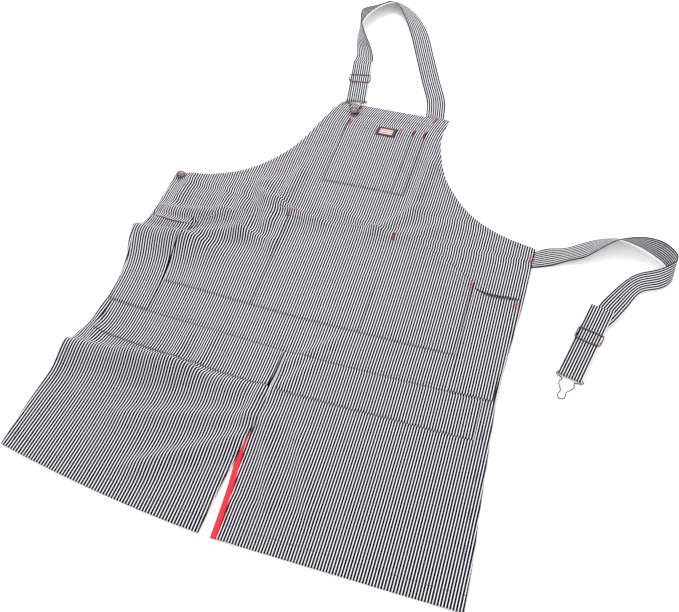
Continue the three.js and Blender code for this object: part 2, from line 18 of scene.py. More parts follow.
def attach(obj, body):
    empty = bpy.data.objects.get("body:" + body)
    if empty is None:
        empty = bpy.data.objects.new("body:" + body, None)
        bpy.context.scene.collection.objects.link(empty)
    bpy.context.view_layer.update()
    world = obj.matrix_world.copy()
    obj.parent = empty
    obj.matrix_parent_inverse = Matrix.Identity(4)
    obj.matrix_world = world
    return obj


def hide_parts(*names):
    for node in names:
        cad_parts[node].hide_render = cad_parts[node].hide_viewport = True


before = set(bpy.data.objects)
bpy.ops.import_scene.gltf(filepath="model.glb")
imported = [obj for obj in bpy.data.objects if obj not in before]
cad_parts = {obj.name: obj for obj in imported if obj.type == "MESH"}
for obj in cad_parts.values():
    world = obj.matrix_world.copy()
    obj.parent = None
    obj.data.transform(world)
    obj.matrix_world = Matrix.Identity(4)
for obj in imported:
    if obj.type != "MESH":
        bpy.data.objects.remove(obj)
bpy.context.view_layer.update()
MM = 0.001

# %% [markdown]
# ## The camera
#
# It stands to the lower right of the apron, a little over a metre up, and looks down at the waist.
# The roll is a small turn of the camera about its own line of sight.

# %% Camera
CAMERA_AT = Vector((0.3338, -0.9816, 1.1330))
LOOKS_AT = Vector((0.0493, -0.2025, 0.0))
ROLL = math.radians(-3.35)
LENS = 44.99


def placed_at(data, place, target, roll=0.0):
    """A camera or lamp at a place, aimed at a target and turned about its own line of sight."""
    obj = bpy.data.objects.new(data.name, data)
    aim = (target - place).to_track_quat("-Z", "Y").to_matrix().to_4x4()
    obj.matrix_world = Matrix.Translation(place) @ aim @ Matrix.Rotation(roll, 4, "Z")
    bpy.context.collection.objects.link(obj)
    return obj


camera_data = bpy.data.cameras.new("camera")
camera_data.lens = LENS
camera_data.sensor_width = 36
bpy.context.scene.camera = placed_at(camera_data, CAMERA_AT, LOOKS_AT, ROLL)
print("camera is", round((LOOKS_AT - CAMERA_AT).length, 3), "m from the apron")

# %% [markdown]
# ## The cutter's sizes
#
# These are the sizes that the apron is cut to. The pattern is flat and symmetric about its centre
# line, apart from the slit. X is measured from the centre line and Y from the waist.

# %% Pattern sizes
CLOTH = 0.9
LEVEL = 1.2  # from one layer of cloth to the next
BIB_TOP, BIB_HALF = 283, 110
WAIST_HALF, HIP_HALF, HEM_HALF = 338, 333, 353
HEM, YOKE, SLIT_TOP, KNEE = -632, -314, -446, -560
POUCH_HALF, POUCH_BOTTOM, POUCH_MOUTH = 253, -246, 97
BIB_POCKET_TOP, BIB_POCKET_BOTTOM, BIB_POCKET_LEFT, BIB_POCKET_RIGHT = 239, 65, -70, 88
HEM_DEPTH, SIDE_HEM, BIB_FACING, CORNER_FACING = 26, 16, 36, 40
TAPE_WIDTH, TAPE_REVEAL = 14, 9
STRAP_WIDTH, STRAP = 38, 1.6
UNDER, MAIN, POCKET, OVER = -1, 0, 1, 2  # the layers, counted from the panels
STRIPE_PITCH = 4.25
GRID = 3.6  # the spacing of the points that the cloth is made of


# %% Curves
def smooth_curve(points, count):
    """Points along a smooth curve through the given ones. Between two points it is a cubic whose
    slope at each end is half the step from the point before to the point after."""
    p = np.asarray(points, float)
    t = np.linspace(0, len(p) - 1, count)
    i = np.minimum(t.astype(int), len(p) - 2)
    w = (t - i)[:, None]
    before, after = p[np.maximum(i - 1, 0)], p[np.minimum(i + 2, len(p) - 1)]
    a, b = p[i], p[i + 1]
    slope_a, slope_b = (b - before) / 2, (after - a) / 2
    cubic = (2 * a - 2 * b + slope_a + slope_b) * w**3
    square = (-3 * a + 3 * b - 2 * slope_a - slope_b) * w**2
    return cubic + square + slope_a * w + a


def running(points, axis=0):
    """The length run along a curve, or along a grid's rows or columns: the sum of the steps."""
    steps = np.linalg.norm(np.diff(points, axis=axis), axis=-1)
    zero = np.zeros_like(np.take(steps, [0], axis=axis))
    return np.concatenate([zero, np.cumsum(steps, axis=axis)], axis=axis)


def even_steps(curve, step):
    """The same curve with its points a fixed distance apart, by running length."""
    run = running(curve)
    stations = np.linspace(0, run[-1], max(2, int(round(run[-1] / step)) + 1))
    return np.stack([np.interp(stations, run, curve[:, k]) for k in range(curve.shape[1])], 1)


def beside(curve, distance):
    """The curve moved sideways, to the left of its direction where the distance is positive."""
    along = np.gradient(curve, axis=0)
    along /= np.linalg.norm(along, axis=1)[:, None]
    return curve + distance * np.stack([-along[:, 1], along[:, 0]], 1)


def mirrored(curve):
    """The curve on the other side of the centre line."""
    return curve * [-1, 1]


def straight(start, end, step=4.0):
    """A straight run of points from start to end."""
    return even_steps(np.array([start, end], float), step)


def row(x, y):
    """Points from their X's, with one Y for all of them or one for each."""
    return np.stack(np.broadcast_arrays(np.asarray(x, float), y), 1)


def hollow(out, up):
    """A point of the armhole: a share of the way out from the bib, a share of the way up it."""
    return [BIB_HALF + out * (WAIST_HALF - BIB_HALF), up * BIB_TOP]


armhole = smooth_curve([[BIB_HALF, BIB_TOP], hollow(0.061, 0.72), hollow(0.189, 0.442),
                        hollow(0.428, 0.205), hollow(0.706, 0.074), [WAIST_HALF, 4]], 120)
yoke_end = [HIP_HALF - 1, YOKE]
body_side = smooth_curve([[WAIST_HALF, 4], [WAIST_HALF, -120], [HIP_HALF, -230], yoke_end], 60)
leg_side = smooth_curve([yoke_end, [HIP_HALF + 10, (YOKE + HEM) / 2], [HEM_HALF - 3, KNEE],
                         [HEM_HALF, HEM]], 60)
slit_right = smooth_curve([[-5, SLIT_TOP], [-7, SLIT_TOP - 46], [0, KNEE], [4, HEM]], 50)
slit_left = smooth_curve([[-5.4, SLIT_TOP], [-11, SLIT_TOP - 42], [-18, KNEE + 10], [-23, HEM]], 50)
print("armhole is", int(even_steps(armhole, 1).shape[0]), "mm along its edge")

# %% [markdown]
# ## How the cloth lies
#
# Cloth laid on a table keeps its length but not its straight lines: the bib leans a little to the
# right, and folds on the left draw the edge up and out. One function moves a pattern point to its
# place, and one sum of ridges gives the height there. Every layer reads the same two functions, so
# a pocket follows each wrinkle of the panel that it is sewn to.

# %% The lie of the cloth
def rise(start, end, value):
    """From 0 to 1 between two ends, with no corner at either."""
    share = np.clip((value - start) / (end - start), 0, 1)
    return share * share * (3 - 2 * share)


def laid(x, y):
    """Where a pattern point lies. The bib leans by the square of its height, and the left side is
    drawn up and pushed out beside each fold."""
    skew = 14 * np.maximum(0, (y / BIB_TOP - 0.72) / 0.28) ** 2
    left = np.maximum(0, -x / HEM_HALF)
    drawn = 18 * left * rise(-60, -200, y) + 27 * left**2 * rise(-330, -450, y)
    drawn = drawn + 8 * left**3 * np.exp(-((y / 50) ** 2))
    spread = 15 * np.exp(-(((y + 175) / 55) ** 2)) + 10 * rise(-350, -420, y)
    return x + skew - spread * left**2, y + drawn


# Each wrinkle is a ridge: both ends of its crest, its height, and its near and far half widths.
WRINKLES = [
    ((-372, -406), (-175, -396), 20, 28, 16),
    ((-235, -398), (-60, -392), 9, 22, 10),
    ((-372, -149), (-262, -150), 20, 34, 14),
    ((-268, -142), (-225, -128), 7, 26, 13),
    ((-285, -78), (-215, -62), 11, 16, 8),
    ((-230, -122), (-170, -100), 11, 16, 7),
    ((-170, -100), (-128, -104), 9, 14, 7),
    ((-168, 18), (-132, -66), 14, 12, 27),
    ((-136, -16), (-48, -36), 11, 15, 7),
    ((-22, 2), (62, -28), 7, 14, 7),
    ((-104, -112), (-98, -60), 7, 14, 10),
    ((-122, 4), (-116, 62), 9, 16, 9),
    ((-232, -8), (-222, -52), 6, 9, 15),
    ((-306, -6), (-312, -78), 7, 14, 12),
    ((-205, 6), (-192, -40), 6, 9, 14),
    ((108, 44), (114, 150), 10, 14, 8),
    ((60, -26), (120, 38), 6, 16, 9),
    ((96, -34), (170, 10), 5, 18, 10),
    ((-196, -486), (-14, -440), 7, 19, 13),
    ((-140, -552), (-24, -480), 8, 19, 13),
    ((-24, -440), (-18, -380), 7, 13, 9),
    ((8, -444), (52, -560), 6, 9, 13),
    ((62, -452), (112, -560), 6, 10, 15),
    ((14, -322), (58, -276), 5, 13, 8),
    ((10, -372), (40, -330), 5, 13, 8),
    ((-176, -372), (-170, -330), 4, 12, 9),
    ((-134, -372), (-128, -322), 4, 12, 9),
    ((-330, -320), (-318, -372), 5, 12, 11),
]


def ridge(x, y, start, end, height, near, far):
    """One wrinkle: a bell across its crest, of two half widths, that fades out past its ends."""
    (x0, y0), (x1, y1) = start, end
    length = math.hypot(x1 - x0, y1 - y0)
    ux, uy = (x1 - x0) / length, (y1 - y0) / length
    along = (x - x0) * ux + (y - y0) * uy
    across = (x - x0) * -uy + (y - y0) * ux
    if ux < 0:
        across = -across
    width = np.where(across > 0, far, near)
    past = np.maximum(0, np.maximum(-along, along - length)) / (1.6 * near)
    return height * np.exp(-((across / width) ** 2)) * np.exp(-(past**2))


def relief(x, y):
    """The height of the wrinkles: all the ridges, and a slow swell that keeps flat cloth alive."""
    total = sum(ridge(x, y, *wrinkle) for wrinkle in WRINKLES)
    swell = np.sin(x / 23 + 0.7 * np.sin(y / 41)) * np.sin(y / 37 + 0.9 * np.sin(x / 53 + 1.1))
    flat = (1 - rise(0, 8, total)) * (1 - rise(BIB_TOP - 68, BIB_TOP - 38, y))
    return total + 0.5 * flat * (1 + swell)


right_side = np.concatenate([armhole, body_side, leg_side])
outline = np.concatenate([right_side, slit_right[::-1], slit_left, mirrored(right_side)[::-1]])
border = np.stack(laid(outline[:, 0], outline[:, 1]), 1)[::3]


def border_distance(x, y):
    """How far a laid point is from the apron's edge: the least distance to the edge's points."""
    nearest = np.full(x.shape, np.inf)
    for part in np.array_split(border, 12):
        gaps = np.hypot(x[..., None] - part[:, 0], y[..., None] - part[:, 1])
        nearest = np.minimum(nearest, gaps.min(-1))
    return nearest


def settle(x, y, level):
    """Pattern point to place: the lie, the wrinkles, one level more where hems lie underneath, and
    a lean of the high folds away from the hem."""
    lx, ly = laid(x, y)
    high = relief(lx, ly)
    hems = LEVEL * (1 - rise(HEM_DEPTH, HEM_DEPTH + 14, border_distance(lx, ly)))
    return np.stack([lx, ly + 0.25 * high * rise(4, 18, high), high + hems + level * LEVEL], -1)


print("highest fold:", round(float(relief(border[:, 0], border[:, 1]).max()), 1), "mm")

# %% [markdown]
# ## Meshes from arrays
#
# A mesh is three arrays: points, faces and, where a pattern follows the surface, a UV map. Cloth
# coordinates go into that map in metres, across the stripes and along them, so that stripes keep
# their spacing over every fold.

# %% Mesh helpers
MESH_COUNT = 0


def new_mesh(name, points, faces, cloth_uv=None):
    """A mesh object from points in millimetres and a list or array of faces."""
    global MESH_COUNT
    mesh = bpy.data.meshes.new(name)
    mesh.from_pydata((np.asarray(points) * MM).tolist(), [], [list(map(int, f)) for f in faces])
    if cloth_uv is not None:
        layer = mesh.uv_layers.new(name="cloth")
        corners = np.empty(len(mesh.loops), int)
        mesh.loops.foreach_get("vertex_index", corners)
        layer.data.foreach_set("uv", (np.asarray(cloth_uv)[corners] * MM).ravel())
    mesh.polygons.foreach_set("use_smooth", np.ones(len(mesh.polygons), bool))
    mesh.update()
    obj = bpy.data.objects.new(name, mesh)
    bpy.context.collection.objects.link(obj)
    MESH_COUNT += 1
    return obj


def grid_faces(rows, columns, wrap=False):
    """The quads of a grid of points that are stored row by row, joined round if it wraps."""
    spans = columns if wrap else columns - 1
    i, j = np.meshgrid(np.arange(rows - 1), np.arange(spans), indexing="ij")
    k = (j + 1) % columns
    quads = [i * columns + j, i * columns + k, (i + 1) * columns + k, (i + 1) * columns + j]
    return np.stack(quads, -1).reshape(-1, 4)


def capped_faces(rows, sides):
    """The faces of a tube of rings: its quads, and one many-sided face at each end."""
    first = np.arange(sides)
    last = first + (rows - 1) * sides
    return [*grid_faces(rows, sides, wrap=True).tolist(), first[::-1].tolist(), last.tolist()]


def rim_loop(rows, columns):
    """The grid's edge points in order, once round."""
    top = np.arange(columns)
    right = np.arange(1, rows) * columns + columns - 1
    bottom = (rows - 1) * columns + np.arange(columns - 2, -1, -1)
    left = np.arange(rows - 2, 0, -1) * columns
    return np.concatenate([top, right, bottom, left])


def closed_sheet(name, surface, thickness, cloth_uv):
    """A sheet with two faces and a rim, from a grid of points on its underside."""
    rows, columns = surface.shape[:2]
    count = rows * columns
    top = surface + [0, 0, thickness]
    points = np.concatenate([top.reshape(-1, 3), surface.reshape(-1, 3)])
    upper = grid_faces(rows, columns)
    loop = rim_loop(rows, columns)
    after = np.roll(loop, -1)
    rim = np.stack([loop, loop + count, after + count, after], 1)
    corner, beside_it, above_it = surface[0, 0], surface[0, -1], surface[-1, 0]
    if np.cross(beside_it - corner, above_it - corner)[2] < 0:
        upper, rim = upper[:, ::-1], rim[:, ::-1]
    lower = upper[:, ::-1] + count
    uv = np.concatenate([cloth_uv.reshape(-1, 2)] * 2)
    return new_mesh(name, points, np.concatenate([upper, lower, rim]), uv)


print("mesh helpers are ready")

# %% [markdown]
# ## Striped twill
#
# The cloth is cotton twill, woven with a wide navy and a narrow white band of warps in turn. A
# twill's weft steps one thread sideways on each pick, so a stripe's edge is a fine diagonal saw and
# not a line. The steps are drawn about twice their real size, since real ones would be finer than
# the eye sees here. Cotton scatters light widely, so it is rough, with hardly any sheen.

# %% Material helpers
def srgb(code, alpha=1.0):
    """A hex colour turned to the linear values that shaders work in."""
    channels = np.array([int(code[i:i + 2], 16) for i in (1, 3, 5)]) / 255
    linear = np.where(channels <= 0.04045, channels / 12.92, ((channels + 0.055) / 1.055) ** 2.4)
    return (*[float(c) for c in linear], alpha)


def feed(tree, target, value):
    """Gives an input a plain value, or links it to an output or to a node's first output in use."""
    if isinstance(value, bpy.types.Node):
        value = next(output for output in value.outputs if output.enabled)
    if isinstance(value, bpy.types.NodeSocket):
        tree.links.new(value, target)
    else:
        target.default_value = value


def add(tree, kind, *feeds, **settings):
    """Adds a node. The feeds go to its inputs in order. A setting is one of its properties or, by
    name, what one of its inputs is fed."""
    node = tree.nodes.new("ShaderNode" + kind)
    for key in [key for key in settings if hasattr(node, key)]:
        setattr(node, key, settings.pop(key))
    for target, value in zip(node.inputs, feeds):
        feed(tree, target, value)
    for key, value in settings.items():
        feed(tree, node.inputs[key.replace("_", " ")], value)
    return node


def new_material(name):
    """An empty material, and the function above for its own tree."""
    material = bpy.data.materials.new(name)
    material.use_nodes = True
    material.node_tree.nodes.clear()
    return material, partial(add, material.node_tree)


# %% Twill material
TWILL_STEP = 1.1 * MM
NAVY_SHARE = 0.68


def twill_material(name, shift=0.0):
    """Striped twill in cloth coordinates. The stripe is where the saw of the pitch passes a half;
    the weave's diagonal moves that edge back and forth by a fraction of a millimetre."""
    material, node = new_material(name)
    cloth = node("UVMap", uv_map="cloth")
    across, along, _ = node("SeparateXYZ", cloth).outputs
    diagonal = node("Math", across, along, operation="ADD")
    diagonal = node("Math", diagonal, TWILL_STEP, operation="DIVIDE")
    saw = node("Math", diagonal, operation="FRACT")
    edge = node("Math", saw, 0.06, shift, operation="MULTIPLY_ADD")
    bands = node("Math", across, STRIPE_PITCH * MM, operation="DIVIDE")
    bands = node("Math", node("Math", bands, edge, operation="ADD"), operation="FRACT")
    wave = node("Math", node("Math", bands, 0.5, operation="SUBTRACT"), operation="ABSOLUTE")
    stripe = node("MapRange", wave, interpolation_type="SMOOTHSTEP",
                  From_Min=NAVY_SHARE / 2 - 0.02, From_Max=NAVY_SHARE / 2 + 0.02)
    fade = node("TexNoise", cloth, Scale=38.0, Detail=5.0)
    navy = node("Mix", data_type="RGBA", Factor=fade, A=srgb("#08060f"), B=srgb("#15121f"))
    white = node("Mix", data_type="RGBA", Factor=fade, A=srgb("#fbf9fd"), B=srgb("#efecf4"))
    colour = node("Mix", data_type="RGBA", Factor=stripe, A=navy, B=white)
    threads = node("Math", diagonal, 2 * math.pi, operation="MULTIPLY")
    threads = node("Math", threads, operation="SINE")
    slub = node("TexNoise", cloth, Scale=900.0, Detail=3.0)
    height = node("Math", slub, 0.6, threads, operation="MULTIPLY_ADD")
    bump = node("Bump", Height=height, Strength=0.12, Distance=0.12 * MM)
    shader = node("BsdfPrincipled", Base_Color=colour, Normal=bump, Roughness=0.9,
                  Specular_IOR_Level=0.06, Sheen_Weight=0.02, Sheen_Roughness=0.5)
    node("OutputMaterial", shader)
    return material


twill = twill_material("striped_cotton_twill")
strap_twill = twill_material("striped_cotton_twill_strap", 0.25)
print("stripes:", STRIPE_PITCH, "mm apart")

# %% [markdown]
# ## Tape, thread, label and copper
#
# The facing tape is a plain weave, so its bump is a small check of threads, and the same check on a
# finer scale gives sewing thread its twist. The hardware is zinc with an antique copper plating: a
# metal, brown where the plating is dark and paler where handling has rubbed it.

# %% Other materials
def plain_weave_material(name, dark, light, thread):
    """A plain weave: the product of two waves, one each way, in cloth coordinates."""
    material, node = new_material(name)
    cloth = node("UVMap", uv_map="cloth")
    waves = []
    for way in node("SeparateXYZ", cloth).outputs[:2]:
        turns = node("Math", way, 2 * math.pi / thread, operation="MULTIPLY")
        waves.append(node("Math", turns, operation="SINE"))
    weave = node("Math", *waves, operation="MULTIPLY")
    blot = node("TexNoise", cloth, Scale=160.0, Detail=4.0)
    share = node("Math", weave, 0.2, blot, operation="MULTIPLY_ADD")
    colour = node("Mix", data_type="RGBA", Factor=share, A=srgb(dark), B=srgb(light))
    bump = node("Bump", Height=weave, Strength=0.35, Distance=0.15 * MM)
    shader = node("BsdfPrincipled", Base_Color=colour, Normal=bump, Roughness=0.82,
                  Specular_IOR_Level=0.25, Sheen_Weight=0.15)
    node("OutputMaterial", shader)
    return material


LABEL_LEFT, LABEL_LOW, LABEL_WIDE, LABEL_HIGH = -8, BIB_POCKET_TOP - 32, 40, 23
LABEL_CENTRE = (LABEL_LEFT + LABEL_WIDE / 2, LABEL_LOW + LABEL_HIGH / 2)


def label_material(name):
    """A woven label: navy satin with three pale bars about its middle, in cloth coordinates."""
    material, node = new_material(name)
    cloth = node("UVMap", uv_map="cloth")
    centred = node("Mapping", cloth, vector_type="TEXTURE", Scale=(13 * MM, 6.5 * MM, 1),
                   Location=(LABEL_CENTRE[0] * MM, LABEL_CENTRE[1] * MM, 0))
    wide, high = [node("Math", way, operation="ABSOLUTE")
                  for way in node("SeparateXYZ", centred).outputs[:2]]
    block = node("Math", wide, high, operation="MAXIMUM")
    block = node("Math", block, 1.0, operation="LESS_THAN")
    gap = node("Math", node("Math", high, 0.45, operation="SUBTRACT"), operation="ABSOLUTE")
    gap = node("Math", gap, 0.12, operation="LESS_THAN")
    gap = node("Math", gap, block, operation="MULTIPLY")
    mark = node("Math", block, gap, operation="SUBTRACT")
    colour = node("Mix", data_type="RGBA", Factor=mark, A=srgb("#141830"), B=srgb("#e9c4b6"))
    satin = node("TexWave", cloth, Scale=500.0, Distortion=0.5)
    bump = node("Bump", Height=satin.outputs["Fac"], Strength=0.3, Distance=0.1 * MM)
    node("OutputMaterial", node("BsdfPrincipled", Base_Color=colour, Normal=bump, Roughness=0.6))
    return material


def antique_copper_material(name):
    """Antique copper plating: dark in the noise's hollows, rubbed paler on its peaks."""
    material, node = new_material(name)
    place = node("TexCoord").outputs["Object"]
    ramp = node("ValToRGB", node("TexNoise", place, Scale=260.0, Detail=6.0))
    for stop, share, tone in zip(ramp.color_ramp.elements, (0.35, 0.68), ("#4a3c38", "#8d7a73")):
        stop.position, stop.color = share, srgb(tone)
    scuff = node("TexNoise", place, Scale=1500.0, Detail=3.0)
    rough = node("MapRange", scuff, To_Min=0.32, To_Max=0.52)
    bump = node("Bump", Height=scuff, Strength=0.2, Distance=0.08 * MM)
    shader = node("BsdfPrincipled", Base_Color=ramp, Roughness=rough, Normal=bump, Metallic=0.85)
    node("OutputMaterial", shader)
    return material


red_tape = plain_weave_material("red_cotton_tape", "#d81f33", "#f5384a", 1.2 * MM)
red_thread = plain_weave_material("red_bartack_thread", "#8a2038", "#c03a50", 1.0 * MM)
navy_thread = plain_weave_material("navy_sewing_thread", "#2a2738", "#4a465a", 0.8 * MM)
woven_label = label_material("woven_satin_label")
copper = antique_copper_material("antique_copper_plated_zinc")
print("materials:", len(bpy.data.materials))

# %% [markdown]
# ## Cutting and laying one piece of cloth
#
# Every sewn piece is a ruled patch: two edge curves with the same number of points, and straight
# rows from one to the other. The patch is cut in the flat pattern, then each point is settled. The
# stripe coordinate counts the cloth that each fold takes up, so stripes bunch where the cloth is
# steep, as real ones do, and a stripe that starts at the hem stays the same stripe to the bib.

# %% Cloth pieces
SHEETS = []
NARROW = 60  # a piece narrower than this is a strip, and is measured along its edges


def patch(near, far, columns):
    """A ruled patch of the flat pattern: rows straight across from one edge to the other."""
    share = np.linspace(0, 1, columns)[None, :, None]
    return near[:, None] * (1 - share) + far[:, None] * share


def grain(flat, placed, shift=0.0, tilt=0.0, fan=0.0):
    """Stripe coordinates: the pattern's X, plus the extra cloth that folds take up, which is the
    running length of the row on the surface less its length in the pattern, counted from the
    middle. A shift and a small slope are added, since no patch is sewn on exactly straight, and a
    fan opens the stripes outwards below the yoke, as a leg that has swung out does."""
    pattern = running(flat, 1)
    surplus = running(placed, 1) - pattern
    middle = surplus[:, surplus.shape[1] // 2][:, None]
    across = flat[..., 0] + 0.35 * (surplus - middle) + shift + tilt * flat[..., 1]
    across = across - fan * flat[..., 0] / HEM_HALF * np.maximum(0, YOKE - 16 - flat[..., 1])
    return np.stack([across, flat[..., 1]], -1)


def cloth(name, near, far, level, step=GRID, material=twill, slot="twill", lift=None, **lie):
    """One sewn piece of cloth from its two edges. It stands for the frame's node of that name."""
    width = np.linalg.norm(far - near, axis=1).max()
    flat = patch(near, far, max(3, int(round(width / step)) + 1))
    placed = settle(flat[..., 0], flat[..., 1], level)
    if lift is not None:
        placed[..., 2] += lift(flat[..., 0], flat[..., 1])
    obj = closed_sheet(name + "_cloth", placed, CLOTH, grain(flat, placed, **lie))
    obj.data.materials.append(material)
    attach(obj, "apron")
    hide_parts(name)
    area = float(np.abs(np.cross(np.diff(flat, axis=0)[:, :-1], np.diff(flat, axis=1)[:-1])).sum())
    if width < NARROW:
        length = float(running(near)[-1] + running(far)[-1]) / 2
        SHEETS.append((obj, (area / length * MM, length * MM), None))
    else:
        cut = np.ptp(flat.reshape(-1, 2), axis=0)
        SHEETS.append((obj, (float(cut[0]) * MM, float(cut[1]) * MM), area * MM * MM))
    return obj


def pair(name, near, far, level, **more):
    """The same piece on both sides of the apron."""
    cloth(name + "_right", near, far, level, **more)
    cloth(name + "_left", mirrored(near), mirrored(far), level, **more)


right_edge = even_steps(np.concatenate([body_side[::-1], armhole[::-1][1:]]), GRID)
cloth("body_panel", mirrored(right_edge), right_edge, MAIN)

leg_rows = straight([0, HEM], [0, YOKE - 0.3], GRID)[:, 1]


def at_leg_rows(edge):
    """An edge that runs down the apron, taken at the legs' rows, and straight up to the yoke."""
    x, y = edge[::-1].T
    return row(np.interp(leg_rows, np.r_[y, YOKE], np.r_[x, x[-1]]), leg_rows)


outer, inner_left = at_leg_rows(leg_side), at_leg_rows(slit_left) - [0.15, 0]
cloth("leg_panel_right", at_leg_rows(slit_right), outer, MAIN, shift=1.4, tilt=0.004)
cloth("leg_panel_left", mirrored(outer), inner_left, MAIN, shift=0.8, fan=0.10)
print("panels have", sum(len(sheet[0].data.polygons) for sheet in SHEETS), "faces")

# %% [markdown]
# ## Facings, hems and tape
#
# They lie under the panels, one level down. Only the slit's red tape is seen from above, where the
# left leg has drawn back from it, but all of them show from behind and give the edges their body.

# %% Under pieces
RED = {"material": red_tape, "slot": "facing_tape"}

across = np.linspace(-1, 1, 51)
cloth("bib_facing", row(across * (BIB_HALF + 3), BIB_TOP - BIB_FACING),
      row(across * (BIB_HALF - 1), BIB_TOP - 1), UNDER)

corner_low = straight([WAIST_HALF - CORNER_FACING, -34], [WAIST_HALF - 1, -34])
corner_high = row(corner_low[:, 0], np.linspace(12, 4, len(corner_low)))
pair("waist_facing", corner_low, corner_high, UNDER)

tape_line = even_steps(armhole, 3)
tape_line = tape_line[(tape_line[:, 1] < BIB_TOP - BIB_FACING - 2)
                      & (tape_line[:, 0] < WAIST_HALF - CORNER_FACING - 2)]
pair("armhole_tape", beside(tape_line, -0.5), beside(tape_line, -TAPE_WIDTH), UNDER, **RED)

side_line = even_steps(np.concatenate([body_side, leg_side[1:]]), 4)
side_line = side_line[(side_line[:, 1] < -36) & (side_line[:, 1] > HEM + HEM_DEPTH + 3)]
pair("side_hem", beside(side_line, -0.5), beside(side_line, -SIDE_HEM), UNDER)

hem_right = straight([4 + TAPE_WIDTH - TAPE_REVEAL + 7, HEM + 1], [HEM_HALF - 1, HEM + 1])
hem_left = straight([1 - HEM_HALF, HEM + 1], [-23 - TAPE_WIDTH - 1, HEM + 1])
cloth("hem_right", hem_right, hem_right + [0, HEM_DEPTH - 1], UNDER)
cloth("hem_left", hem_left, hem_left + [0, HEM_DEPTH - 1], UNDER)

slit_edge = slit_right[10:]
shown = beside(slit_edge, -TAPE_REVEAL)
shown[0, 0] = slit_edge[0, 0] - 2
cloth("slit_tape_right", shown, beside(slit_edge, TAPE_WIDTH - TAPE_REVEAL + 4), UNDER, **RED)
tucked = slit_left[10:] - [0.5, 0]
tucked[:, 0] -= 8 * rise(KNEE + 10, SLIT_TOP - 20, tucked[:, 1])
cloth("slit_tape_left", tucked, beside(tucked, -TAPE_WIDTH), UNDER, **RED)
print("cloth pieces so far:", len(SHEETS))

# %% [markdown]
# ## Pockets and label
#
# Patch pockets repeat the panel's stripes. The left hand pocket gapes: its front edge stands away
# from the band behind it, which is what throws the dark line across the apron's left side.

# %% Pockets
def gape(x, y):
    """How far the left hand pocket's front stands off: most at its mouth, nothing at its sides."""
    inside = np.clip(np.sin(math.pi * (-x - POUCH_HALF) / (WAIST_HALF - POUCH_HALF)), 0, 1)
    return 7 * inside**0.5 * np.exp(-(((y + 112) / 20) ** 2))


bib_low = straight([BIB_POCKET_LEFT, BIB_POCKET_BOTTOM], [BIB_POCKET_RIGHT, BIB_POCKET_BOTTOM])
bib_high = row(np.linspace(BIB_POCKET_LEFT + 2, BIB_POCKET_RIGHT, len(bib_low)), BIB_POCKET_TOP)
cloth("bib_pocket", bib_low, bib_high, POCKET, shift=-0.6, tilt=0.004)

label_low = straight([LABEL_LEFT, LABEL_LOW], [LABEL_LEFT + LABEL_WIDE, LABEL_LOW], 2)
cloth("label", label_low, label_low + [0, LABEL_HIGH], OVER, 2, woven_label, "label")

mouth_x = POUCH_MOUTH + np.array([0, 0.39, 0.74, 1]) * (POUCH_HALF - POUCH_MOUTH)
mouth = smooth_curve(row(mouth_x, [-29, -42, -68, -96]), 60)
pouch_x = straight([-POUCH_HALF, 0], [POUCH_HALF, 0], GRID)[:, 0]
pouch_high = row(pouch_x, np.interp(abs(pouch_x), *mouth.T))
cloth("pouch_pocket", row(pouch_x, POUCH_BOTTOM), pouch_high, POCKET, shift=1.2, tilt=0.008)

start_x, end_x = POUCH_HALF + 3, WAIST_HALF - 6
hand_mouth = even_steps(smooth_curve([[start_x, -109], [start_x + 28, -116], [end_x, -113]], 40), 3)
hand_low = row(np.linspace(start_x, end_x - 5, len(hand_mouth)), YOKE + 3)
cloth("side_pocket_right", hand_low, hand_mouth, POCKET, shift=2.0, tilt=0.01)
cloth("side_pocket_left", mirrored(hand_low), mirrored(hand_mouth), POCKET, lift=gape)


BAND = 17


def lifted(amount):
    """A band whose lower edge stands off the cloth: most at the middle of the mouth, nothing at its
    ends and at the band's upper edge, so that the mouth shows as a dark line."""
    def lift(x, y):
        above = np.clip((y - np.interp(abs(x), *hand_mouth.T)) / BAND, 0, 1)
        inside = np.clip(np.sin(math.pi * (abs(x) - start_x) / (end_x - start_x)), 0, 1)
        return amount * (1 - above) ** 1.3 * inside**0.5
    return lift


band_low, band_high = beside(hand_mouth, 1), beside(hand_mouth, BAND)
cloth("pocket_band_right", band_low, band_high, POCKET, lift=lifted(5))
cloth("pocket_band_left", mirrored(band_low), mirrored(band_high), POCKET, lift=lifted(9))

leg_low = straight([2, YOKE - 70], [HIP_HALF - 20, YOKE - 70], GRID)
cloth("leg_pocket_right", leg_low, leg_low + [0, 68], POCKET, shift=3.1, tilt=0.012)
leg_low_left = mirrored(leg_low) - [8, 0]
cloth("leg_pocket_left", leg_low_left, leg_low_left + [0, 68], POCKET, shift=0.7, tilt=-0.01)
print("pockets laid; cloth pieces:", len(SHEETS))

# %% [markdown]
# ## Straps
#
# A strap is a folded tube of twill, stitched along both edges. Its two edges are separate rails
# through the same stations, so that it can lie flat, roll over and stand on edge. The section
# carried along the rails is a superellipse: nearly a rectangle, with soft corners.

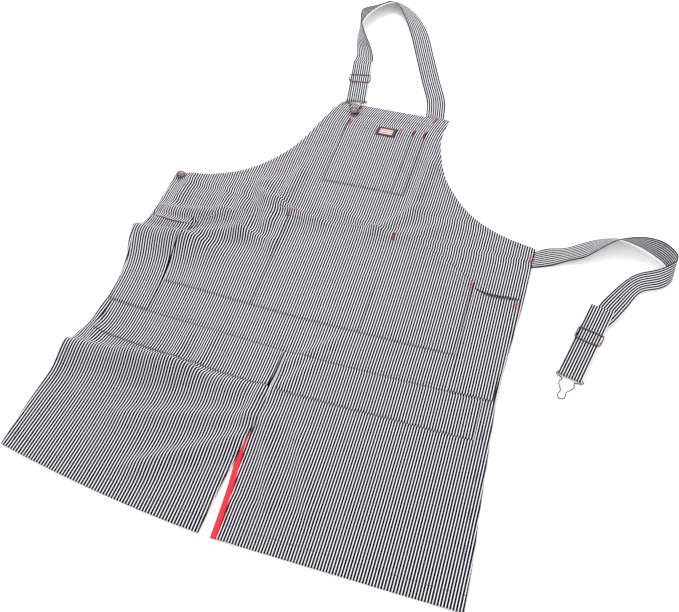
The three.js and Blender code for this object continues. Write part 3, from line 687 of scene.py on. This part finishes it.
# %% Straps
def rail(points, count, closed=False):
    """A centripetal spline: between two points, a cubic whose end slopes weigh the neighbouring
    spans by the root of their length, which keeps tight bends from looping."""
    p = np.asarray(points, float)
    if closed:
        p = np.concatenate([p[-1:], p, p[:2]])
    else:
        p = np.concatenate([2 * p[:1] - p[1:2], p, 2 * p[-1:] - p[-2:-1]])
    spans = len(p) - 3
    t = np.linspace(0, spans, count + 1)[:-1] if closed else np.linspace(0, spans, count)
    i = np.minimum(t.astype(int), spans - 1)
    w = (t - i)[:, None]
    a, b, c, d = p[i], p[i + 1], p[i + 2], p[i + 3]
    ab, bc, cd = [np.sqrt(np.linalg.norm(step, axis=1))[:, None] + 1e-9
                  for step in (b - a, c - b, d - c)]
    slope_b = ((b - a) / ab - (c - a) / (ab + bc) + (c - b) / bc) * bc
    slope_c = ((c - b) / bc - (d - b) / (bc + cd) + (d - c) / cd) * bc
    return ((2 * b - 2 * c + slope_b + slope_c) * w**3
            + (-3 * b + 3 * c - 2 * slope_b - slope_c) * w**2 + slope_b * w + b)


def unit(vectors):
    """Each vector, at length one."""
    return vectors / np.linalg.norm(vectors, axis=-1)[..., None]


def superellipse(count, power):
    """A full turn's cosine and sine, each raised to a power: a circle at 1, squarer below it."""
    angle = np.linspace(0, 2 * math.pi, count, endpoint=False)
    c, s = np.cos(angle), np.sin(angle)
    return np.sign(c) * np.abs(c) ** power, np.sign(s) * np.abs(s) ** power


def strap(name, rail_a, rail_b, body, count, sides=40):
    """A strap between two rails. Each point is the middle of the two, plus a share of the width
    towards the rail, plus a share of the thickness along the normal."""
    a, b = rail(rail_a, count), rail(rail_b, count)
    middle, half = (a + b) / 2, (b - a) / 2
    along = np.gradient(middle, axis=0)
    normal = unit(np.cross(along, half))
    wide, deep = superellipse(sides, 0.4)
    seam_dip = 1 - 0.35 * np.exp(-(((np.abs(wide) - 0.86) / 0.03) ** 2))
    deep = deep * STRAP / 2 * seam_dip
    points = middle[:, None] + half[:, None] * wide[:, None] + normal[:, None] * deep[:, None]
    run = running(middle)
    uv = np.stack(np.broadcast_arrays(wide * STRAP_WIDTH / 2, run[:, None]), -1)
    faces = capped_faces(count, sides)
    obj = new_mesh(name + "_cloth", points.reshape(-1, 3), faces, uv.reshape(-1, 2))
    obj.data.materials.append(strap_twill)
    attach(obj, body)
    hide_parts(name)
    SHEETS.append((obj, (STRAP_WIDTH * MM, float(run[-1]) * MM), None))
    return obj


# %% Strap ends
GAP, WIRE, SLIDE_LENGTH, SLIDE_BAR, SLIDE_TRAVEL = 0.3, 1.8, 24, 1.9, 12
BAR_Z = 3.7  # the height of a hook's wire
WRAP = (STRAP + WIRE) / 2 + 2 * GAP
LOW_Z = SLIDE_BAR + 2 * GAP + STRAP / 2
HIGH_Z = LOW_Z + STRAP + GAP
FRAME_Z = HIGH_Z + STRAP / 2 + GAP + SLIDE_BAR / 2
FLAT = 1.0


class StrapEnd:
    """The doubled end of a strap: a hook's crossbar, the way out from it, and the slide behind."""

    def __init__(self, bar, degrees, slide, tail):
        turn = math.radians(degrees)
        self.bar = np.array([*bar, 0.0])
        self.out = np.array([math.cos(turn), math.sin(turn), 0])
        self.side = np.array([-self.out[1], self.out[0], 0])
        self.slide, self.tail = slide, tail

    def place(self, along, across, z):
        """A point from its distance past the crossbar, its distance across and its height."""
        along, across, z = np.broadcast_arrays(*np.atleast_1d(along, across, z))
        on_table = self.bar + self.out * along[:, None] + self.side * across[:, None]
        return on_table + [0, 0, 1] * z[:, None]

    def stations(self, start):
        """The run along the table, round the crossbar and back over itself to the tail."""
        level = SLIDE_LENGTH / 2 + SLIDE_TRAVEL + 2 - self.slide
        turn = np.radians([-60, -20, 20, 60])
        way = np.array([0.25, 0.5, 0.75])
        climb = -16 + (level + 16) * way
        along = np.r_[start, level, climb[::-1], -16, -6, WRAP * np.cos(turn),
                      -6, -16, climb, level, -self.slide - self.tail]
        low, high = BAR_Z - WRAP, BAR_Z + WRAP
        lower = low + (LOW_Z - low) * rise(0, 1, way)
        upper = high + (HIGH_Z - high) * rise(0, 1, way)
        z = np.r_[LOW_Z, LOW_Z, lower[::-1], low, low, BAR_Z + WRAP * np.sin(turn),
                  high, high, upper, HIGH_Z, HIGH_Z]
        half = STRAP_WIDTH / 2
        return self.place(along, half, z), self.place(along, -half, z)


# %% Strap runs
waist_end = StrapEnd((WAIST_HALF + 94, -236), -102.4, 82, 64)
HOOK_LENGTH, HOOK_SEAT, CROSSBAR_OUT = 38, 6, 8
BIB_BUTTON = np.array([-63.5, BIB_TOP + CROSSBAR_OUT - (HOOK_LENGTH - HOOK_SEAT)])
WAIST_BUTTON = np.array([11 - WAIST_HALF, 4])
NECK_DEGREES = -79.8
neck_turn = math.radians(NECK_DEGREES)
neck_out = np.array([math.cos(neck_turn), math.sin(neck_turn)])
neck_end = StrapEnd(BIB_BUTTON - (HOOK_LENGTH - HOOK_SEAT) * neck_out, NECK_DEGREES, 65, 57)

# Each station is the edge that lies on the table, then the other edge, from the sewn corner.
WAIST_RUN = [
    ((0.3, -1, FLAT), (0.3, -38, FLAT)), ((18, 12, FLAT), (31, -25, 1.7)),
    ((48, 22, FLAT), (58, -10, 6)), ((74, 40, FLAT), (83, 2, 10)),
    ((100, 56, FLAT), (107, 22, 18)), ((132, 66, FLAT), (132, 40, 28)),
    ((170, 57, FLAT), (166, 47, 38)), ((196, 43, FLAT), (197, 46, 39)),
    ((214, 29, FLAT), (216, 36, 38)), ((225, 11, FLAT), (226, 25, 36)),
    ((227, -3, FLAT), (227, 19, 31)), ((221, -16, FLAT), (219, 15, 21)),
    ((210, -27, FLAT), (204, 9, 11)),
    ((182, -43, FLAT), (167, -9, 4)), ((165, -78, FLAT), (130, -64, 3)),
    ((149, -112, LOW_Z), (113, -100, LOW_Z)),
]
NECK_RUN = [
    ((113, 0.3, FLAT), (76, 0.3, FLAT)), ((104, 50, FLAT), (67, 42, FLAT)),
    ((77, 115, FLAT), (42, 101, FLAT)), ((46, 190, FLAT), (11, 175, FLAT)),
    ((14, 263, FLAT), (-18, 242, 5)), ((-26, 319, FLAT), (-46, 291, 14)),
    ((-60, 344, FLAT), (-66, 314, 21)), ((-87, 349, FLAT), (-84, 319, 23)),
    ((-107, 333, FLAT), (-97, 304, 25)), ((-119, 313, FLAT), (-108, 290, 28)),
    ((-128, 290, FLAT), (-119, 275, 33)), ((-131, 263, FLAT), (-129, 257, 37)),
    ((-130, 239, FLAT), (-126, 235, 38)), ((-127, 211, FLAT), (-114, 205, 35)),
    ((-123, 189, FLAT), (-100, 183, 28)), ((-117, 169, FLAT), (-84, 167, 10)),
    ((-111, 147, 2), (-74, 145, 2)),
]

waist = np.array(WAIST_RUN, float) + [WAIST_HALF, 0, 0]
waist_a, waist_b = waist_end.stations(-waist_end.slide - SLIDE_LENGTH / 2 - SLIDE_TRAVEL)
waist_rails = np.r_[waist[:, 0], waist_a], np.r_[waist[:, 1], waist_b]
strap("waist_strap", *waist_rails, "waist_strap", 760)

neck = np.array(NECK_RUN, float) + [0, BIB_TOP, 0]
under_tail = -neck_end.slide - np.array([neck_end.tail, 8])
neck_a, neck_b = [neck_end.place(under_tail, side * STRAP_WIDTH / 2, LOW_Z) for side in (-1, 1)]
neck_rails = np.r_[neck[:, 0], neck_a], np.r_[neck[:, 1], neck_b]
strap("neck_strap", *neck_rails, "apron", 520)
neck_end_rails = neck_end.stations(-neck_end.slide)
strap("neck_strap_end", *neck_end_rails, "neck_end", 320)
for piece, size, _ in SHEETS[-3:]:
    print(piece.name, "is", round(size[1], 3), "m long")

# %% [markdown]
# ## Wire hooks, slides and buttons
#
# The hooks are one bent wire each: a crossbar inside the strap's loop, a wide part that lets the
# button's cap through, and a round eye that holds its shank. A wire is a circle carried along a
# closed rail. The slides are cast frames, and the buttons are pressed caps, turned on a lathe.

# %% Hardware helpers
def tube(path, radius, sides, squareness=1.0):
    """Points and faces of a closed wire: a section carried along a path that lies level, square to
    it, with one axis level and one upright."""
    along = unit(np.roll(path, -1, 0) - np.roll(path, 1, 0))
    level = unit(np.cross(along, [0, 0, 1.0]))
    upright = np.cross(level, along)
    c, s = superellipse(sides, squareness)
    points = path[:, None] + (level[:, None] * c[:, None] + upright[:, None] * s[:, None]) * radius
    faces = grid_faces(len(path) + 1, sides, wrap=True) % (len(path) * sides)
    return points.reshape(-1, 3), faces.tolist()


def hardware(name, parts, body):
    """One piece of hardware from several closed shells."""
    points, faces, start = [], [], 0
    for shell_points, shell_faces in parts:
        points.append(shell_points)
        faces += [[k + start for k in face] for face in shell_faces]
        start += len(shell_points)
    obj = new_mesh(name + "_metal", np.concatenate(points), faces)
    obj.data.materials.append(copper)
    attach(obj, body)
    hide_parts(name)
    return obj


# %% Hooks
EYE_RADIUS, HOOK_NECK, HOOK_WAIST = 6, 4.8, 10


def hook(name, end, body):
    """The wire's path in the hook's own plane, then carried to the strap's end."""
    bar = STRAP_WIDTH / 2 + 1.5
    half = np.array([(0, bar - 8), (0, bar - 0.5), (3.4, bar + 1), (9, HOOK_WAIST),
                     (16, HOOK_WAIST + 2), (23, HOOK_WAIST - 1), (HOOK_LENGTH - 9, HOOK_NECK)])
    angle = np.radians(np.linspace(115, -115, 8))
    eye = np.stack([HOOK_LENGTH + EYE_RADIUS * np.cos(angle), EYE_RADIUS * np.sin(angle)], 1)
    loop = np.concatenate([[[0, 0]], half, eye, half[::-1] * [1, -1]])
    path = rail(end.place(loop[:, 0], loop[:, 1], BAR_Z), 300, closed=True)
    return hardware(name, [tube(path, WIRE / 2, 14)], body)


hook("waist_hook", waist_end, "waist_hook")
hook("neck_hook", neck_end, "neck_end")


# %% Slides
def slide(name, end, body):
    """A frame over the doubled strap, with a bar that drops at each side and passes under it."""
    half = STRAP_WIDTH / 2 + 1.2 + SLIDE_BAR / 2
    reach = SLIDE_LENGTH / 2 - SLIDE_BAR / 2
    c, s = superellipse(160, 0.28)
    outer = end.place(c * reach - end.slide, s * half, FRAME_Z)
    low = GAP / 2 + SLIDE_BAR / 2
    down = np.array([(half, FRAME_Z), (half, FRAME_Z - 3),
                     (half - 0.3, low + 1), (half - 1.6, low)])
    drop = np.concatenate([down, [(0, low)], mirrored(down)[::-1]])
    rows, sides = 90, 12
    under = rail(end.place(-end.slide, drop[:, 0], drop[:, 1]), rows)
    second = np.cross(unit(np.gradient(under, axis=0)), end.out)
    c, s = superellipse(sides, 1)
    ring = (end.out * 1.2 * c[:, None] + second[:, None] * s[:, None]) * SLIDE_BAR / 2
    bar = (under[:, None] + ring).reshape(-1, 3), capped_faces(rows, sides)
    return hardware(name, [tube(outer, SLIDE_BAR / 2, sides, squareness=0.6), bar], body)


slide("waist_slide", waist_end, "waist_slide")
slide("neck_slide", neck_end, "neck_slide")


# %% Buttons
def turned(profile, centre, sides=56):
    """A profile of radius and height turned about an upright axis, closed at its two ends."""
    r, z = np.asarray(profile, float).T[:, :, None]
    c, s = superellipse(sides, 1)
    rings = np.stack(np.broadcast_arrays(centre[0] + r * c, centre[1] + r * s, z), -1)
    return rings.reshape(-1, 3), capped_faces(len(profile), sides)


CAP_BASE = BAR_Z + WIRE / 2 + 0.6
CAP_TOP = CAP_BASE + 3.6


def button(name, centre, body):
    """The cap's profile runs up its bore, down its shank, out under the rim and over the dome,
    where two shallow rings and a dimple are pressed. Its tack is a flat head on a nail."""
    rim = smooth_curve([(8.2, CAP_BASE), (8.8, CAP_BASE + 0.9), (8.5, CAP_BASE + 1.9),
                        (7.7, CAP_BASE + 2.5), (7.2, CAP_BASE + 2.3), (6.6, CAP_BASE + 2.6),
                        (4.4, CAP_TOP - 0.35), (3.9, CAP_TOP - 0.55), (3.4, CAP_TOP - 0.25),
                        (1.6, CAP_TOP - 0.05), (0.25, CAP_TOP - 0.02)], 60)
    profile = np.concatenate([[(0.25, CAP_BASE + 0.3), (1.2, CAP_BASE + 0.3), (1.2, 2 * LEVEL),
                               (2.8, 2 * LEVEL), (2.8, CAP_BASE)], rim])
    hardware(name, [turned(profile[::-1], centre)], body)
    head = smooth_curve([(5, 0.05), (5, 0.85), (4.9, CLOTH), (1.1, CLOTH)], 12)
    tack = np.concatenate([[(0.2, 0.0)], head, [(0.9, CLOTH + 0.2), (0.9, CAP_BASE - 0.3),
                                               (0.2, CAP_BASE - 0.3)]])
    hardware(name + "_tack", [turned(tack[::-1], centre, 32)], "apron")


button("bib_button", BIB_BUTTON, "bib_button")
button("waist_button", WAIST_BUTTON, "waist_button")
print("hardware made; meshes so far:", MESH_COUNT)

# %% [markdown]
# ## Stitching and bartacks
#
# Each stitch is a short, pointed lozenge of thread that lies half sunk in the cloth. All the
# stitches of a set are one array: a template, repeated at every place, turned to the seam. A
# bartack is a short zigzag of red thread, at each pocket corner and strap root, and the cloth shows
# between its stitches.

# %% Stitches
STITCH, THREAD = 3.6, 0.24  # from one stitch to the next, and half the thread's width
template_rings = np.array([(-0.40, 0.25), (-0.24, 1.0), (0.24, 1.0), (0.40, 0.25)])
ring_turn = np.linspace(0, 2 * math.pi, 6, endpoint=False)


def stitched(name, seams, level):
    """Rows of stitches along seams on the laid apron, as one piece."""
    centres, ways = [], []
    for seam in seams:
        walk = even_steps(seam, STITCH)
        spots = settle(walk[:, 0], walk[:, 1], level)
        centres.append((spots[1:] + spots[:-1]) / 2)
        ways.append(unit(np.diff(spots, axis=0)))
    raised = np.concatenate(centres) + [0, 0, CLOTH + 0.08]
    return lay_stitches(name, raised, np.concatenate(ways), "apron", navy_thread)


def lay_stitches(name, centres, ways, body, material, length=STITCH, thread=THREAD):
    """The template's rings at every centre: along the seam by the ring's place, and round it."""
    aside = unit(np.cross(ways, [0, 0, 1.0]) + 1e-9)
    up = np.cross(aside, ways)
    place, swell = template_rings.T[:, :, None, None]
    c, s = superellipse(len(ring_turn), 1)
    section = aside[:, None, None] * c[:, None] + up[:, None, None] * s[:, None] * 0.6
    rings = (centres[:, None, None] + ways[:, None, None] * (place * length)
             + section * (swell * thread))
    count, rows, sides = rings.shape[:3]
    start = (np.arange(count) * rows * sides)[:, None, None]
    quads = (grid_faces(rows, sides, wrap=True)[None] + start).reshape(-1, 4).tolist()
    low = (np.arange(sides)[::-1] + start[:, 0]).tolist()
    high = (np.arange(sides) + (rows - 1) * sides + start[:, 0]).tolist()
    uv = np.stack(np.broadcast_arrays(place[None, :, :, 0] * length, ring_turn), -1)
    uv = np.broadcast_to(uv, (count, rows, sides, 2))
    obj = new_mesh(name, rings.reshape(-1, 3), quads + low + high, uv.reshape(-1, 2))
    obj.data.materials.append(material)
    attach(obj, body)
    print(name, "has", count, "stitches")
    return obj


# %% Seams
armhole_row = even_steps(beside(armhole, -9), 4)
side_row = even_steps(beside(np.concatenate([body_side, leg_side[1:]]), -13), 4)
side_row = side_row[side_row[:, 1] > HEM + 2]


def across_at(y, start, end):
    """A seam across the apron."""
    return straight([start, y], [end, y])


def down_at(x, start, end):
    """A seam up or down the apron."""
    return straight([x, start], [x, end])


hem_seam = HEM + HEM_DEPTH - 3
hem_rows = [across_at(hem_seam, 8, HEM_HALF - 2), across_at(hem_seam, 3 - HEM_HALF, -24)]
bib_rows = [across_at(BIB_TOP - k, -BIB_HALF + 2, BIB_HALF - 2) for k in (26, 2.5)]
yoke_rows = [across_at(YOKE + k, -HIP_HALF + 2, HIP_HALF - 2) for k in (2.5, 8)]
slit_rows = [beside(slit_right[3:], 3), beside(slit_left[3:], -3)]
seat_seam = [down_at(k - 5, YOKE - 3, SLIT_TOP) for k in (3, 8)]
panel_seams = [armhole_row, mirrored(armhole_row), side_row, mirrored(side_row), *hem_rows,
               *bib_rows, *yoke_rows, *slit_rows, *seat_seam]
stitched("panel_stitching", panel_seams, MAIN)

inset = 2.4
left, right, base = BIB_POCKET_LEFT + inset, BIB_POCKET_RIGHT - inset, BIB_POCKET_BOTTOM + inset
bib_edges = [down_at(left, BIB_POCKET_TOP, base), across_at(base, left, right),
             down_at(right, base, BIB_POCKET_TOP), down_at(64, BIB_POCKET_TOP, base),
             down_at(36, BIB_POCKET_TOP, BIB_POCKET_TOP - 20),
             across_at(BIB_POCKET_TOP - 20, BIB_POCKET_LEFT + 2, BIB_POCKET_RIGHT)]
mouth_row = np.concatenate([mirrored(mouth)[::-1], mouth])
base = POUCH_BOTTOM + inset
pouch_edges = [down_at(inset - POUCH_HALF, -98, base), across_at(base, -POUCH_HALF, POUCH_HALF),
               down_at(POUCH_HALF - inset, base, -98),
               beside(mouth_row, -inset), beside(mouth_row, -14)]
for x in (-POUCH_MOUTH - 3, -POUCH_MOUTH + 3, POUCH_MOUTH - 3, POUCH_MOUTH + 3):
    pouch_edges.append(down_at(x, -32, base))
leg_base, leg_end = YOKE - 68, HIP_HALF - 22
leg_edges = []
for side, shift in ((1, 0), (-1, -8)):
    for seam in (across_at(leg_base, 3, leg_end), down_at(leg_end, leg_base, YOKE - 4)):
        leg_edges.append(seam * [side, 1] + [shift, 0])
band_rows = [beside(hand_mouth, 3), beside(hand_mouth, 14)]
band_rows += [mirrored(row) for row in band_rows]
stitched("pocket_stitching", bib_edges + pouch_edges + leg_edges + band_rows, POCKET)


# %% Strap seams
def strap_stitching(name, rail_a, rail_b, body, count, end):
    """Two rows of stitches, one along each edge of a strap, on both faces. They stop short of the
    crossbar, where the cloth is turned too tightly to be sewn."""
    a, b = rail(rail_a, count), rail(rail_b, count)
    centres, ways = [], []
    for share in (0.07, 0.93):
        line = a * (1 - share) + b * share
        half = b - a
        normal = unit(np.cross(np.gradient(line, axis=0), half))
        raised = normal * (STRAP / 2 + 0.02)
        walk = even_steps(np.concatenate([line + raised, line - raised], 1), STITCH * 1.45)
        for face in (walk[:, :3], walk[:, 3:]):
            centres.append((face[1:] + face[:-1]) / 2)
            ways.append(unit(np.diff(face, axis=0)))
    centres, ways = np.concatenate(centres), np.concatenate(ways)
    clear = (centres - end.bar) @ end.out < -9
    return lay_stitches(name, centres[clear], ways[clear], body, navy_thread)


strap_stitching("waist_strap_stitching", *waist_rails, "waist_strap", 900, waist_end)
strap_stitching("neck_strap_stitching", *neck_rails, "apron", 800, neck_end)
strap_stitching("neck_end_stitching", *neck_end_rails, "neck_end", 400, neck_end)


# %% Bartacks
TACK_PITCH = 0.72  # from one stitch of the zigzag to the next


def bartack(name, x, y, level, width=3.4, length=16):
    """A zigzag of thread: stitches straight across the seam, close together, each one leaning
    half a pitch along it, on the settled cloth."""
    along = np.arange(-length / 2, length / 2, TACK_PITCH) + y
    side = np.full_like(along, width / 2)
    start = settle(x - side, along, level)
    end = settle(x + side, along + TACK_PITCH / 2, level)
    ways = unit(end - start)
    middle = (start + end) / 2 + [0, 0, CLOTH + 0.12]
    obj = lay_stitches(name + "_thread", middle, ways, "apron", red_thread, width / 0.8, 0.30)
    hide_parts(name)


tack_y = BIB_POCKET_TOP - 17 / 2 - 2
TACKS = [(f"bib_pocket_tack_{k}", x, tack_y, OVER) for k, x in enumerate((-66, 36, 64, 84), 1)]
for corner, x, y in (("pouch", POUCH_MOUTH, -39), ("hand", POUCH_HALF - 5, -104),
                     ("side", WAIST_HALF - 10, -124)):
    TACKS += [(corner + "_tack_left", -x, y, OVER), (corner + "_tack_right", x, y, OVER)]
TACKS += [("neck_strap_tack", 84, BIB_TOP - 8.8, POCKET),
          ("waist_strap_tack", WAIST_HALF - 5, -20, POCKET)]
for tack in TACKS:
    bartack(*tack)
print("bartacks:", len(TACKS))

# %% [markdown]
# ## The cloth sheets
#
# Each sheet is listed with the size that it was cut to. They are all laid, not hung.

print("sheets declared:", len(SHEETS))

# %% [markdown]
# ## Floor and light
#
# A pale matte floor and a bright, even sky, as in a product picture, with one large soft lamp above
# the bib so that each fold has a light side and a dark one.

# %% Floor and light
bpy.ops.mesh.primitive_plane_add(size=14, location=(0, 0, -0.0006))
floor = bpy.context.object
floor.name = "floor"
paper, node = new_material("matte_white_floor")
white = srgb("#ffffff")
node("OutputMaterial", node("BsdfPrincipled", Base_Color=white, Roughness=0.9, Emission_Color=white,
                            Emission_Strength=0.12))
floor.data.materials.append(paper)

world = bpy.data.worlds.new("sky")
bpy.context.scene.world = world
world.use_nodes = True
sky = world.node_tree.nodes["Background"].inputs
sky["Color"].default_value, sky["Strength"].default_value = white, 0.95


def lamp(name, place, target, size, power):
    """A square soft lamp aimed at a point."""
    data = bpy.data.lights.new(name, "AREA")
    data.size, data.energy = size, power
    return placed_at(data, Vector(place), Vector(target))


lamp("key", (-0.9, 1.5, 1.9), (0, -0.15, 0), 1.4, 40)
lamp("fill", (1.6, -0.9, 2.0), (0, -0.2, 0), 1.8, 5)
bpy.context.scene.view_settings.view_transform = "Standard"
print("lit")
